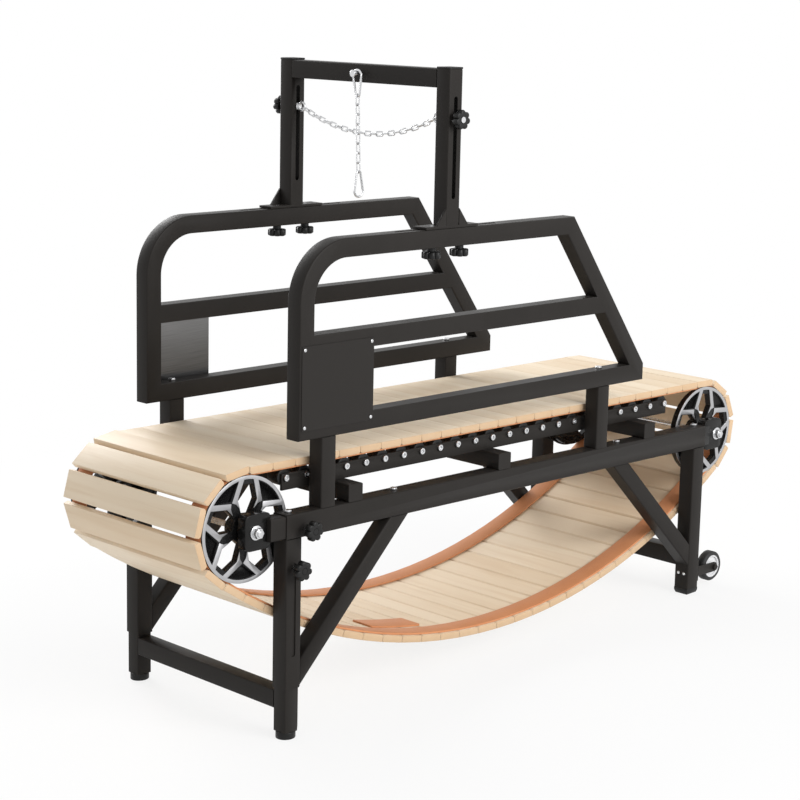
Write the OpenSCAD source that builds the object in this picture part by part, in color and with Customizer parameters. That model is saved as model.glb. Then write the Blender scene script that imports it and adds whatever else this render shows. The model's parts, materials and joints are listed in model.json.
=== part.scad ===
// Dog treadmill: a slatted belt on spoked wheels in a welded tube frame,
// with side guards, a sliding gantry and a tether. Millimetres, +Z up.
// The front, where the animal faces, is -X. Left is -Y.

/* [Frame] */
// Distance between the front and the rear leg centres
leg_span = 1279; // [1150:1:1450]
// Distance from a front leg's centre forward to the front axle
front_reach = 86.5; // [80:0.5:110]
// Distance from a rear leg's centre back to the rear axle
rear_reach = 67.5; // [64:0.5:100]
// Width over the outer faces of the side rails
frame_w = 510; // [460:1:600]
// Height of a side rail
rail_h = 50; // [48:1:60]
// Width of a side rail
rail_w = 40; // [38:1:44]
// Wall of every steel tube
tube_wall = 2; // [1.5:0.1:2.5]
// Side of the square leg tubes
leg_tube = 40; // [38:1:44]
// Side of the square brace tubes
brace_tube = 38; // [30:1:38]
// Length of rail from a leg's face to a brace's centre line
brace_run = 266; // [220:1:300]
// Drop from the rail to a rear brace's centre line at the leg
brace_drop = 258; // [220:1:268]
// How much lower a front brace meets its leg
front_brace_lower = 16; // [0:1:20]

/* [Legs] */
// Drop from the axle line to the sole of a front foot
front_drop = 433; // [420:1:445]
// Drop from the axle line to the sole of a rear foot
rear_drop = 383; // [375:1:400]
// Length of a front outer leg below its rail
front_leg_len = 304; // [292:1:310]
// How far the front stand can be pulled down
stand_travel = 170; // [100:1:175]
// Height of the front stand's crossbar
stand_bar_h = 38; // [34:1:56]
// Gap between a front outer leg and the stand's crossbar
stand_bar_gap = 7; // [1:0.5:12]
// Drop from the axle line to the centre of a leg knob
leg_knob_drop = 83; // [75:1:90]
// Drop from the axle line to the centre of the rear crossbar
rear_bar_drop = 296; // [280:1:310]
// Diameter of a front foot
foot_d = 40; // [36:1:44]
// Height of a foot
foot_h = 14; // [10:1:16]

/* [Wheels] */
// Radius of a belt wheel over its lip
wheel_r = 106; // [100:0.5:118]
// Width of a belt wheel's rim
wheel_w = 18; // [16:1:24]
// Length of a wheel hub
hub_len = 34; // [28:1:40]
// Distance from a rail's outer face in to the wheel face and the slat ends
wheel_inset = 45; // [44:1:52]
// Number of forked spokes in a wheel
spoke_count = 5; // [5:1:6]
// Width of the bright lip round a wheel face
lip_w = 7; // [6:0.5:10]
// Thickness of a wheel's lip
lip_t = 4.5; // [3:0.5:5]
// Width of a bright spoke edge
spoke_edge_w = 11; // [5:0.5:12]
// Turn of the spokes at rest
spoke_turn = -5; // [-36:1:36]
// Diameter of the axles
axle_d = 12; // [10:1:14]
// Radius of a wheel hub
hub_r = 24; // [22:0.5:26]
// Outer diameter of a hub bearing
bearing_d = 32; // [28:1:35]
// Width of a hub bearing
bearing_w = 10; // [8:1:12]

/* [Belt] */
// Number of slats in the loop
slat_count = 62; // [58:1:66]
// Thickness of a slat
slat_t = 15; // [10:0.5:18]
// Gap between slats on the straight run
slat_gap = 1.2; // [0.8:0.1:4]
// Width of a strap
strap_w = 45; // [30:1:50]
// Thickness of a strap
strap_t = 4; // [3:0.5:5]
// Distance from a wheel's lip in to a strap
strap_inset = 1; // [0.5:0.5:8]
// Droop of the lower run below the wheels
belt_sag = 227; // [190:1:240]

/* [Roller deck] */
// Height of the deck beams
beam_h = 35.5; // [34:0.5:41]
// Width of the deck beams
beam_w = 38; // [34:1:42]
// Distance from a front leg's centre back to the front beam
front_beam = 161.5; // [120:0.5:200]
// Distance from the middle of the rails forward to the middle beam
mid_beam = 42; // [0:0.5:120]
// Distance from a rear leg's centre forward to the rear beam
rear_beam = 191.5; // [160:0.5:220]
// Radius of a roller
roller_r = 17; // [14:0.5:23.5]
// Length of a roller
roller_l = 30; // [24:1:34]
// Distance between rollers
roller_pitch = 53.5; // [48:0.5:58]
// Least distance from the last roller back to the rear axle
roller_tail = 148; // [135:1:190]
// Thickness of a roller rail
roller_rail_t = 5; // [4:0.5:6]
// Height of a roller rail above the roller axes
roller_rail_top = 8; // [5:1:15]
// Distance from the slat ends in to the roller rail
roller_rail_inset = 5; // [4:0.5:8]

/* [Guards] */
// Side of the square guard tubes
guard_tube = 38; // [34:1:40]
// Height of the posts that carry the guards
guard_post_h = 141; // [125:1:150]
// Distance from a front leg's centre back to the front guard post
front_post = 88; // [70:0.5:110]
// Distance from a rear leg's centre forward to the rear guard post
rear_post = 361; // [320:0.5:400]
// Distance from a front leg's centre back to the front of the guards
guard_start = 8.5; // [0:0.5:30]
// Distance from a rear leg's centre forward to the rear end of the guards
guard_end = 225; // [200:0.5:250]
// Length of rail that a guard's sloping rear bar spans
guard_slope = 257; // [230:0.5:280]
// Height of a guard
guard_h = 386; // [370:1:400]
// Height of the middle bar above the guard's foot
guard_mid = 166; // [150:1:175]
// Outer radius of the front bend
guard_bend = 120; // [100:1:135]
// Length of a guard plate
plate_l = 190; // [170:1:210]
// Thickness of a guard plate
plate_t = 1.5; // [1:0.1:2]
// Distance from the guard's front to its plate
plate_inset = 5; // [3:1:10]

/* [Gantry] */
// Distance from the front of the guards back to the gantry
gantry_set = 410; // [370:1:450]
// Side of the square gantry tubes
gantry_tube = 38; // [34:1:40]
// Height of the gantry posts above the guards
gantry_h = 317; // [300:1:340]
// Height of the post caps
cap_h = 4; // [3:1:6]
// Length of a gantry base plate
base_l = 150; // [130:1:170]
// Thickness of a gantry base plate
base_t = 5; // [4:0.5:6]
// Distance between the knobs of a base plate
base_knobs = 81; // [70:1:90]
// Half the length of the gantry's slide
gantry_travel = 100; // [60:1:105]
// Height of a gusset
gusset_h = 34; // [30:1:40]
// Reach of a gusset past its post
gusset_reach = 26; // [20:1:30]
// Height of the eye bolts above the guards
eye_height = 218; // [205:1:225]
// How far the eye bolts slide up
eye_up = 35; // [20:1:38]
// How far the eye bolts slide down
eye_down = 150; // [100:1:150]

/* [Tether] */
// Length of the leash stud
stud_l = 24; // [20:1:30]
// Slope of the cross chain at its ends
chain_slope = 24; // [18:1:36]
// Number of links in the cross chain
chain_links = 23; // [21:2:25]
// Wire of the chains
chain_wire = 3; // [2.5:0.1:3.2]
// Inner width of a chain link
link_w = 6; // [5:0.5:7]
// Number of links in the leash
leash_links = 8; // [6:2:10]
// Pitch of the leash links
leash_pitch = 20; // [18:0.5:22]
// Wire of a snap hook
hook_wire = 5; // [4:0.5:5.5]
// Radius of a snap hook's wide end
hook_wide = 12; // [11:0.5:13]
// Radius of a snap hook's narrow end
hook_narrow = 6; // [5.5:0.5:7]
// Distance between the centres of a snap hook's ends
hook_span = 36; // [32:1:40]

/* [Knobs and fasteners] */
// Diameter of a star knob over its lobes
knob_d = 40; // [36:1:42]
// Height of a star knob's head
knob_h = 15; // [12:1:18]
// Height of a star knob's collar
collar_h = 8; // [6:1:10]
// Lobes of a star knob
knob_lobes = 7; // [5:1:8]
// Diameter of the knob studs
stud_d = 8; // [6:1:8]
// Width across the corners of a bolt head
bolt_d = 15; // [12:0.5:16]
// Height of a bolt head
bolt_h = 5.3; // [4:0.1:6]

/* [Casters] */
// Diameter of a caster wheel
caster_d = 72; // [65:1:78]
// Width of a caster wheel
caster_w = 24; // [20:1:26]
// Distance from a rear leg's centre back to the caster axle
caster_back = 86; // [64:1:95]
// Drop from the axle line to the caster axle
caster_drop = 332.5; // [305:0.5:340]

/* [Hidden] */
$fn = 64;

// Clearances
slide_gap = 0.3;
running_gap = 0.05;
bolt_gap = 0.2;
belt_gap = 0.4;
rail_clear = 2;
link_gap = 0.3;
gate_gap = 0.8;
tyre_gap = 0.1;
wire_lap = 0.5;
wire_step = 0.06;
cut = 1;
far = 4000;

// Finishes
coat = [0.13, 0.13, 0.14];
plastic = [0.05, 0.05, 0.05];
steel = [0.75, 0.76, 0.78];
alloy = [0.55, 0.56, 0.58];
birch = [0.87, 0.76, 0.60];
leather = [0.68, 0.38, 0.19];

// Levels and places in the deck's own frame, whose origin is on the axle line midway between the legs
side_y = frame_w / 2 - rail_w / 2;
leg_x = leg_span / 2;
axle_front = -leg_x - front_reach;
axle_rear = leg_x + rear_reach;
axle_mid = (axle_front + axle_rear) / 2;
leg_face = leg_x - leg_tube / 2;
rail_end = leg_x + leg_tube / 2;
rail_top = rail_h / 2;
beam_top = rail_top + beam_h;
beam_at = [-leg_x + front_beam, -mid_beam, leg_x - rear_beam];
half_belt = frame_w / 2 - wheel_inset;
incline = atan((front_drop - rear_drop) / leg_span);
axle_h = (front_drop + rear_drop) / 2 * cos(incline);

// Belt path, about the middle between the axles
a = (axle_rear - axle_front) / 2;
tread_r = wheel_r - strap_t;
path_r = tread_r + belt_gap;
sag_z = (a * a - belt_sag * belt_sag) / (2 * belt_sag);
sag_r = sag_z + path_r + belt_sag;
sag_half = atan(a / sag_z);
wrap = 180 - sag_half;
rad = PI / 180;
s_front = a;
s_lower = s_front + path_r * wrap * rad;
s_rear = s_lower + sag_r * 2 * sag_half * rad;
s_top = s_rear + path_r * wrap * rad;
belt_len = s_top + a;
slat_pitch = belt_len / slat_count;
slat_w = slat_pitch - slat_gap;
slat_chamfer = 1.5;
slat_shift = 7.5;
wheel_steps = 36;
sag_steps = 32;

function on_arc(c, r, t) = [c[0] + r * cos(t), c[1] + r * sin(t), t];
// Place on the path at length s from the middle of the top run: x, z and the angle of the normal
function belt_path(s) =
    s < s_front ? [-s, path_r, 90]
    : s < s_lower ? on_arc([-a, 0], path_r, 90 + (s - s_front) / path_r / rad)
    : s < s_rear ? on_arc([0, sag_z], sag_r, 270 - sag_half + (s - s_lower) / sag_r / rad)
    : s < s_top ? on_arc([a, 0], path_r, 270 + sag_half + (s - s_rear) / path_r / rad)
    : [belt_len - s, path_r, 90];

// Axle blocks and their arms
front_block_out = 26;
front_block_in = 38;
front_block_inset = 14;
rear_block_out = 19;
rear_block_in = 44;
rear_block_inset = 4;
block_h = 72;
block_t = 23;
block_round = 12;
arm_start = 28;
arm_w = rail_w - 2 * tube_wall - 2 * slide_gap;
arm_h = rail_h - 2 * tube_wall - 2 * slide_gap;
arm_depth = 130;
arm_wall = 3;
tension_travel = 12;
tension_knob_back = 28;
tension_knob_x = -leg_x + tension_knob_back;
tension_knob_drop = 8.5;
nut_d = 21.9;
nut_h = 10;
washer_d = 29;
washer_t = 2.5;
axle_stub = 2.5;

// Front legs and stand
inner_leg = leg_tube - 2 * tube_wall - 2 * slide_gap;
leg_foot = -rail_h / 2 - front_leg_len;
inner_leg_over = 40;
inner_leg_top = -leg_knob_drop + inner_leg_over;
slot_play = 2.5;
slot_w = stud_d + slot_play;
slot_past = 6;
slot_end = stud_d / 2 + slot_past;
rear_foot_chamfer = 4;
sole_allowance = 4;

// Guards
guard_front = -leg_x + guard_start;
guard_rear = leg_x - guard_end;
guard_top_rear = guard_rear - guard_slope;
guard_post_at = [-leg_x + front_post, leg_x - rear_post];
guard_z = rail_top + guard_post_h;
guard_top = guard_z + guard_h;
guard_y = frame_w / 2 - guard_tube / 2;
slope_dx = guard_rear - guard_top_rear;
slope_dz = guard_top - guard_z - guard_tube;
slope_len = norm([slope_dx, slope_dz]);
plate_x0 = guard_front + plate_inset;
plate_z0 = guard_z + guard_tube / 2;
plate_z1 = guard_z + guard_mid + guard_tube / 2;
screw_d = 7;
screw_h = 1.6;
screw_inset = 7;
fork_screw_gap = 16;
vent_d = 6;

// Gantry
gantry_at = guard_front + gantry_set;
gantry_foot = guard_top + slide_gap;
gantry_top = gantry_foot + gantry_h;
bar_z = gantry_top - gantry_tube / 2;
eye_z = gantry_foot + eye_height;
eye_r = 9;
eye_wire = 5;
eye_neck = 10;
eye_flange_d = 16;
eye_flange_t = 3;
eye_y = guard_y - gantry_tube / 2 - slide_gap - eye_flange_t - eye_neck;
stud_head_d = 15;
stud_head_t = 3;
stud_x = gantry_at - gantry_tube / 2 - stud_l / 2;

// Cross chain: a round arc between the eyes
chain_half = eye_y - (eye_r - eye_wire / 2) * cos(chain_slope);
chain_r = chain_half / sin(chain_slope);
chain_pitch = 2 * chain_slope * rad * chain_r / chain_links;
chain_centre = eye_z - (eye_r - eye_wire / 2) * sin(chain_slope) + chain_r * cos(chain_slope);

// Snap hooks
hook_lean = asin((hook_wide - hook_narrow) / hook_span);
hook_side = hook_span * cos(hook_lean);
hook_hang = hook_wide - hook_wire / 2 - stud_d / 2 - link_gap;
hook_reach = hook_span + hook_narrow - hook_wire / 2;
leash_top = -hook_hang - hook_reach + link_gap / 2;
leash_foot = leash_top - leash_links * leash_pitch;

// Rollers
roller_z = path_r - bolt_gap - roller_r;
roller_rail_h = roller_z + roller_rail_top - beam_top;
roller_rail_end = 10;
roller_rail_x0 = axle_front + sqrt(tread_r * tread_r - beam_top * beam_top) + tension_travel + rail_clear;
roller_x0 = roller_rail_x0 + roller_rail_end;
roller_count = floor((axle_rear - roller_tail - roller_x0) / roller_pitch) + 1;
roller_row = (roller_count - 1) * roller_pitch;
roller_head_d = 13;
roller_socket_d = 7;
roller_socket_h = 2.5;

// Casters
fork_t = 4;
fork_gap = 2;
fork_w = 23;
caster_tyre_t = 9;
caster_edge = 4;
caster_boss = 7;
caster_dish = 2;

// Knobs
knob_lobe_r = 6.4;
knob_waist = 7;
knob_collar_d = 18;
knob_standoff = 9;

// The whole machine leans back by the incline, with the feet on the floor
module on_deck() {
    translate([0, 0, axle_h]) rotate([0, incline, 0]) children();
}
// Left as drawn, right as its mirror image
module on_side(side) {
    if (side < 0) children();
    else mirror([0, 1, 0]) children();
}
module both_sides() {
    on_side(-1) children();
    on_side(1) children();
}
// Removes what lies below the floor
module on_floor() {
    difference() {
        children();
        translate([-far, -far, -far]) cube([2 * far, 2 * far, far]);
    }
}
// Box from one corner to the other
module block(from, to) {
    translate(from) cube(to - from);
}
// Square tube along X, Y or Z, open at both ends
module tube(from, to, axis, wall = tube_wall) {
    skin = [for (i = [0:2]) i == axis ? -cut : wall];
    difference() {
        block(from, to);
        block(from + skin, to - skin);
    }
}
// Outline in the XZ plane pulled out along Y from y0 to y1
module pull(y0, y1) {
    translate([0, y1, 0]) rotate([90, 0, 0]) linear_extrude(y1 - y0) children();
}
// Cylinder along Y from y0 to y1
module round_y(x, z, d, y0, y1, sides = 48) {
    translate([x, y1, z]) rotate([90, 0, 0]) cylinder(d = d, h = y1 - y0, $fn = sides);
}
// Tube whose long edges follow an outline, with the cavity given by another
module plate_tube(outline, cavity, y0, y1, wall = tube_wall) {
    difference() {
        pull(y0, y1) polygon(outline);
        pull(y0 + wall, y1 - wall) polygon(cavity);
    }
}
// Slot through a wall in the XZ plane, running up from z0 to z1
module slot_up(x, z0, z1, w, y0, y1) {
    block([x - w / 2, y0, z0 + w / 2], [x + w / 2, y1, z1 - w / 2]);
    round_y(x, z0 + w / 2, w, y0, y1);
    round_y(x, z1 - w / 2, w, y0, y1);
}
// Hexagon head with its flat side down at the origin
module hex_head(d = bolt_d, h = bolt_h) {
    cylinder(d = d, h = h, $fn = 6);
}
function round_rect(w, h, r, steps = 6) = [
    for (q = [0:3]) for (i = [0:steps])
        let (t = q * 90 + i * 90 / steps, sx = q == 0 || q == 3 ? 1 : -1, sz = q < 2 ? 1 : -1)
        [sx * (w / 2 - r) + r * cos(t), sz * (h / 2 - r) + r * sin(t)]
];

// Star knob on +Z with its seat at the origin and its stud below
module star_knob(stud_len, bore = false) {
    lobe_x = knob_d / 2 - knob_lobe_r;
    bore_d = stud_d + 2 * running_gap;
    difference() {
        union() {
            cylinder(d = knob_collar_d, h = collar_h + cut, $fn = 40);
            translate([0, 0, collar_h]) linear_extrude(knob_h) {
                circle(r = knob_d / 2 - knob_waist, $fn = 40);
                for (i = [0:knob_lobes - 1])
                    rotate(i * 360 / knob_lobes) translate([lobe_x, 0]) circle(r = knob_lobe_r, $fn = 24);
            }
            if (!bore) translate([0, 0, -stud_len]) cylinder(d = stud_d, h = stud_len + cut, $fn = 32);
        }
        if (bore) translate([0, 0, -cut]) cylinder(d = bore_d, h = stud_len + cut, $fn = 32);
    }
}
// Knob that points away from the left side
module side_knob(x, y, z, stud_len, bore = false) {
    translate([x, y, z]) rotate([90, 0, 0]) star_knob(stud_len, bore);
}

// Side rail with the hole for its tension knob
module side_rail(side) {
    outer = -frame_w / 2;
    color(coat) on_deck() on_side(side) difference() {
        tube([-rail_end, outer, -rail_h / 2], [rail_end, outer + rail_w, rail_h / 2], 0);
        round_y(tension_knob_x, -tension_knob_drop, stud_d + 2 * running_gap,
            outer - cut, outer + tube_wall + cut);
    }
}
module side_rail_l() side_rail(-1);
module side_rail_r() side_rail(1);

// Front outer leg with the slot for its knob
module front_leg(side) {
    half = leg_tube / 2;
    slot_top = -leg_knob_drop + slot_end;
    color(coat) on_deck() on_side(side) difference() {
        tube([-leg_x - half, -side_y - half, leg_foot], [-leg_x + half, -side_y + half, -rail_h / 2], 2);
        slot_up(-leg_x, slot_top - stand_travel - 2 * slot_end, slot_top, slot_w,
            -side_y - half - cut, -side_y - half + tube_wall + cut);
    }
}
module front_leg_l() front_leg(-1);
module front_leg_r() front_leg(1);

module rear_leg(side) {
    half = leg_tube / 2;
    color(coat) on_deck() on_side(side)
        tube([leg_x - half, -side_y - half, -rear_drop + foot_h],
            [leg_x + half, -side_y + half, -rail_h / 2], 2);
}
module rear_leg_l() rear_leg(-1);
module rear_leg_r() rear_leg(1);

// Brace outline: from the leg's inner face up to the underside of the rail
function brace_points(drop, half, extend) =
    let (
        angle = atan2(drop, brace_run),
        foot_z = -rail_h / 2 - drop,
        foot_x = -leg_face - extend * cos(angle),
        head_x = -leg_face + brace_run,
        low = foot_z - extend * sin(angle),
        high = extend * sin(angle) - rail_h / 2,
        shift = extend * cos(angle)
    )
    [
        [foot_x, low - half / cos(angle)],
        [foot_x, low + half / cos(angle)],
        [head_x + shift - half / sin(angle), high],
        [head_x + shift + half / sin(angle), high],
    ];
module brace(drop) {
    half = brace_tube / 2;
    plate_tube(brace_points(drop, half, 0), brace_points(drop, half - tube_wall, brace_tube),
        -side_y - half, -side_y + half);
}
module leg_braces() {
    color(coat) on_deck() both_sides() {
        brace(brace_drop + front_brace_lower);
        mirror([1, 0, 0]) brace(brace_drop);
    }
}

module rear_crossbar() {
    half = leg_tube / 2;
    inner = side_y - half;
    color(coat) on_deck()
        tube([leg_x - half, -inner, -rear_bar_drop - half], [leg_x + half, inner, -rear_bar_drop + half], 1);
}

// Plastic foot with chamfered edges, cut level with the floor
module rear_feet() {
    half = leg_tube / 2;
    small = half - rear_foot_chamfer;
    top = -rear_drop + foot_h;
    low = -rear_drop - sole_allowance;
    outline = [
        [-half, 0], [-half, -foot_h / 2], [-small, low - top],
        [small, low - top], [half, -foot_h / 2], [half, 0],
    ];
    color(plastic) on_floor() on_deck() both_sides() translate([leg_x, -side_y, top]) intersection() {
        pull(-half, half) polygon(outline);
        rotate(90) pull(-half, half) polygon(outline);
    }
}

// Caster fork: two cheeks and a back plate on the rear leg, with its axle pin
module caster_forks() {
    inner = caster_w / 2 + fork_gap;
    outer = inner + fork_t;
    back = leg_x + leg_tube / 2;
    pin_x = leg_x + caster_back;
    color(coat) on_deck() both_sides() translate([0, -side_y, 0]) {
        block([back, -outer, -caster_drop - fork_w], [back + fork_t, outer, -caster_drop + fork_w]);
        for (y = [-outer, inner]) difference() {
            union() {
                block([back + fork_t, y, -caster_drop - fork_w / 2],
                    [pin_x, y + fork_t, -caster_drop + fork_w / 2]);
                round_y(pin_x, -caster_drop, fork_w, y, y + fork_t);
            }
            round_y(pin_x, -caster_drop, stud_d + 2 * bolt_gap, y - cut, y + fork_t + cut);
        }
    }
    color(steel) on_deck() both_sides() translate([0, -side_y, 0]) {
        round_y(pin_x, -caster_drop, stud_d, -outer, outer);
        for (y = [-outer - bolt_h, outer]) round_y(pin_x, -caster_drop, bolt_d, y, y + bolt_h, 6);
    }
}

// Caster wheel: a hub with a bore for the fork's pin, in a round-edged tyre
module caster_wheel(side) {
    hub_r_out = caster_d / 2 - caster_tyre_t;
    hub_r_in = stud_d / 2 + running_gap;
    half = caster_w / 2;
    rim = half - caster_dish;
    tread = caster_d / 2;
    pin_x = leg_x + caster_back;
    on_deck() on_side(side) translate([pin_x, -side_y, -caster_drop]) rotate([90, 0, 0]) {
        color(steel) rotate_extrude() {
            translate([hub_r_in, -half]) square([caster_boss, caster_w]);
            translate([hub_r_in, -half / 2]) square([hub_r_out - hub_r_in, half]);
            translate([hub_r_out - caster_edge, -rim]) square([caster_edge, 2 * rim]);
        }
        color(plastic) rotate_extrude() polygon([
            [hub_r_out + tyre_gap, -half], [tread - caster_edge, -half], [tread, -half + caster_edge],
            [tread, half - caster_edge], [tread - caster_edge, half], [hub_r_out + tyre_gap, half],
        ]);
    }
}
module caster_wheel_l() caster_wheel(-1);
module caster_wheel_r() caster_wheel(1);

// Beams across the rails, each with welded ends and a vent below
module deck_beams() {
    end = frame_w / 2;
    skin = [tube_wall, tube_wall, tube_wall];
    color(coat) on_deck() for (x = beam_at) difference() {
        block([x - beam_w / 2, -end, rail_top], [x + beam_w / 2, end, beam_top]);
        block([x - beam_w / 2, -end, rail_top] + skin, [x + beam_w / 2, end, beam_top] - skin);
        translate([x, 0, rail_top - cut]) cylinder(d = vent_d, h = tube_wall + 2 * cut, $fn = 24);
    }
}

// Flat bar on edge that carries a row of rollers
module roller_rail(side) {
    face = -half_belt + roller_rail_inset;
    color(coat) on_deck() on_side(side) difference() {
        block([roller_rail_x0, face, beam_top],
            [roller_x0 + roller_row + roller_rail_end, face + roller_rail_t, beam_top + roller_rail_h]);
        for (i = [0:roller_count - 1])
            round_y(roller_x0 + i * roller_pitch, roller_z, stud_d + 2 * bolt_gap,
                face - cut, face + roller_rail_t + cut);
    }
}
module roller_rail_l() roller_rail(-1);
module roller_rail_r() roller_rail(1);

module deck_rollers() {
    start = -half_belt + roller_rail_inset + roller_rail_t + slide_gap;
    color(plastic) on_deck() both_sides() for (i = [0:roller_count - 1]) difference() {
        round_y(roller_x0 + i * roller_pitch, roller_z, 2 * roller_r, start, start + roller_l);
        round_y(roller_x0 + i * roller_pitch, roller_z, stud_d + 2 * bolt_gap,
            start - cut, start + roller_l + cut);
    }
}
module roller_bolts() {
    face = -half_belt + roller_rail_inset;
    end = face + roller_rail_t + slide_gap + roller_l;
    color(steel) on_deck() both_sides() for (i = [0:roller_count - 1]) {
        round_y(roller_x0 + i * roller_pitch, roller_z, stud_d, face - cut, end);
        difference() {
            round_y(roller_x0 + i * roller_pitch, roller_z, roller_head_d, face - bolt_h, face);
            round_y(roller_x0 + i * roller_pitch, roller_z, roller_socket_d,
                face - bolt_h - cut, face - bolt_h + roller_socket_h, 6);
        }
    }
}

module guard_posts() {
    half = guard_tube / 2;
    color(coat) on_deck() both_sides() for (x = guard_post_at)
        tube([x - half, -guard_y - half, rail_top], [x + half, -guard_y + half, guard_z], 2);
}

// Point of the sloping rear bar at a height, inset from its rear edge
function slope_x(z, inset) =
    guard_top_rear + (guard_top - z) * slope_dx / slope_dz - inset * slope_len / slope_dz;
// Guard: bottom bar, front upright, bend, top bar that turns down into the sloping rear bar, middle bar
module guard(side) {
    t = guard_tube;
    w = tube_wall;
    y0 = -guard_y - t / 2;
    y1 = -guard_y + t / 2;
    mid = guard_z + guard_mid;
    bend_x = guard_front + guard_bend;
    bend_z = guard_top - guard_bend;
    low = guard_z + t;
    under = guard_top - t;
    slot_x0 = gantry_at - base_knobs / 2 - gantry_travel;
    slot_x1 = gantry_at + base_knobs / 2 + gantry_travel;
    color(coat) on_deck() on_side(side) {
        difference() {
            block([guard_front + t, y0, guard_z], [guard_rear, y1, low]);
            block([guard_front + t - cut, y0 + w, guard_z + w], [guard_rear - w, y1 - w, low - w]);
            translate([0, -guard_y, guard_z - cut]) cylinder(d = vent_d, h = w + 2 * cut, $fn = 24);
        }
        difference() {
            block([guard_front, y0, guard_z], [guard_front + t, y1, bend_z]);
            block([guard_front + w, y0 + w, guard_z + w], [guard_front + t - w, y1 - w, bend_z + cut]);
        }
        translate([bend_x, y1, bend_z]) rotate([90, 0, 0]) rotate(90) rotate_extrude(angle = 90)
            translate([guard_bend - t, 0]) difference() {
                square(t);
                translate([w, w]) square(t - 2 * w);
            }
        difference() {
            plate_tube(
                [[bend_x, guard_top], [slope_x(guard_top, 0), guard_top], [slope_x(low, 0), low],
                    [slope_x(low, t), low], [slope_x(under, t), under], [bend_x, under]],
                [[bend_x - t, guard_top - w], [slope_x(guard_top - w, w), guard_top - w],
                    [slope_x(low - t, w), low - t], [slope_x(low - t, t - w), low - t],
                    [slope_x(under + w, t - w), under + w], [bend_x - t, under + w]],
                y0, y1);
            translate([0, 0, guard_top - t - cut]) linear_extrude(t + 2 * cut) {
                translate([slot_x0, -guard_y - slot_w / 2]) square([slot_x1 - slot_x0, slot_w]);
                for (x = [slot_x0, slot_x1]) translate([x, -guard_y]) circle(d = slot_w, $fn = 40);
            }
        }
        difference() {
            plate_tube(
                [[guard_front + t, mid], [guard_front + t, mid + t], [slope_x(mid + t, t - cut), mid + t],
                    [slope_x(mid, t - cut), mid]],
                [[guard_front, mid + w], [guard_front, mid + t - w],
                    [guard_rear, mid + t - w], [guard_rear, mid + w]],
                y0, y1);
            translate([0, -guard_y, mid - cut]) cylinder(d = vent_d, h = w + 2 * cut, $fn = 24);
        }
    }
}
module guard_l() guard(-1);
module guard_r() guard(1);

module guard_plates() {
    color(coat) on_deck() both_sides()
        block([plate_x0, -frame_w / 2 - plate_t, plate_z0], [plate_x0 + plate_l, -frame_w / 2, plate_z1]);
}

// Bolt heads on the rails and guards, plate screws and fork screws
module frame_bolts() {
    color(steel) on_deck() both_sides() {
        for (side = [-1, 1]) for (x = [leg_x, leg_face - brace_run])
            translate([side * x, -side_y, rail_top]) hex_head();
        for (x = guard_post_at) translate([x, -guard_y, guard_z + guard_tube]) hex_head();
        for (x = [plate_x0 + screw_inset, plate_x0 + plate_l - screw_inset])
            for (z = [plate_z0 + screw_inset, plate_z1 - screw_inset])
                round_y(x, z, screw_d, -frame_w / 2 - plate_t - screw_h, -frame_w / 2 - plate_t, 24);
        for (y = [-1, 1]) translate([leg_face - screw_h, -side_y + y * fork_screw_gap / 2, -caster_drop])
            rotate([0, 90, 0]) cylinder(d = screw_d, h = screw_h, $fn = 24);
    }
}

// Axle block with rounded corners, a bore and a notch for the arm, on the left, its outer end at -X
module axle_block(reach, out, in, inset) {
    x = -leg_x - reach;
    y0 = -frame_w / 2 + inset;
    y1 = y0 + block_t;
    difference() {
        pull(y0, y1) translate([x + (in - out) / 2, 0]) polygon(round_rect(in + out, block_h, block_round));
        round_y(x, 0, axle_d + 2 * bolt_gap, y0 - cut, y1 + cut);
        block([x + arm_start, y0 - cut, -arm_h / 2], [x + in + cut, y1 + cut, arm_h / 2]);
    }
}
// Arm, closed at the block, that reaches into the end of the rail
module axle_arm(reach) {
    start = [-leg_x - reach + arm_start, -side_y - arm_w / 2, -arm_h / 2];
    end = [-rail_end + arm_depth, -side_y + arm_w / 2, arm_h / 2];
    wall = [arm_wall, arm_wall, arm_wall];
    difference() {
        block(start, end);
        block(start + wall, end + [cut, -arm_wall, -arm_wall]);
    }
}
// Axle rod with a washer and a nut against each block
module axle(x, inset) {
    seat = -frame_w / 2 + inset;
    nut_y = seat - washer_t - nut_h;
    round_y(x, 0, axle_d, nut_y - axle_stub, -nut_y + axle_stub);
    both_sides() difference() {
        union() {
            round_y(x, 0, washer_d, seat - washer_t, seat);
            round_y(x, 0, nut_d, nut_y, seat - washer_t, 6);
        }
        round_y(x, 0, axle_d + 2 * bolt_gap, nut_y - cut, seat + cut);
    }
}
module rear_axle_blocks() {
    color(coat) on_deck() both_sides() mirror([1, 0, 0]) {
        axle_block(rear_reach, rear_block_out, rear_block_in, rear_block_inset);
        axle_arm(rear_reach);
    }
}
module rear_axle() color(steel) on_deck() axle(axle_rear, rear_block_inset);
module tension_arms() color(coat) on_deck() both_sides() axle_arm(front_reach);
module front_axle_blocks() {
    color(coat) on_deck() both_sides()
        axle_block(front_reach, front_block_out, front_block_in, front_block_inset);
}
module front_axle() color(steel) on_deck() axle(axle_front, front_block_inset);

// Slats lie on the straps all round the loop
module belt_slats() {
    half = slat_w / 2;
    c = slat_chamfer;
    outline = [
        [-half, 0], [half, 0], [half, slat_t - c],
        [half - c, slat_t], [c - half, slat_t], [-half, slat_t - c],
    ];
    color(birch) on_deck() for (i = [0:slat_count - 1])
        let (p = belt_path((i + 0.5) * slat_pitch + slat_shift))
        translate([axle_mid + p[0], 0, p[1]]) rotate([0, 90 - p[2], 0])
            translate([0, 0, strap_t]) pull(-half_belt, half_belt) polygon(outline);
}

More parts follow.
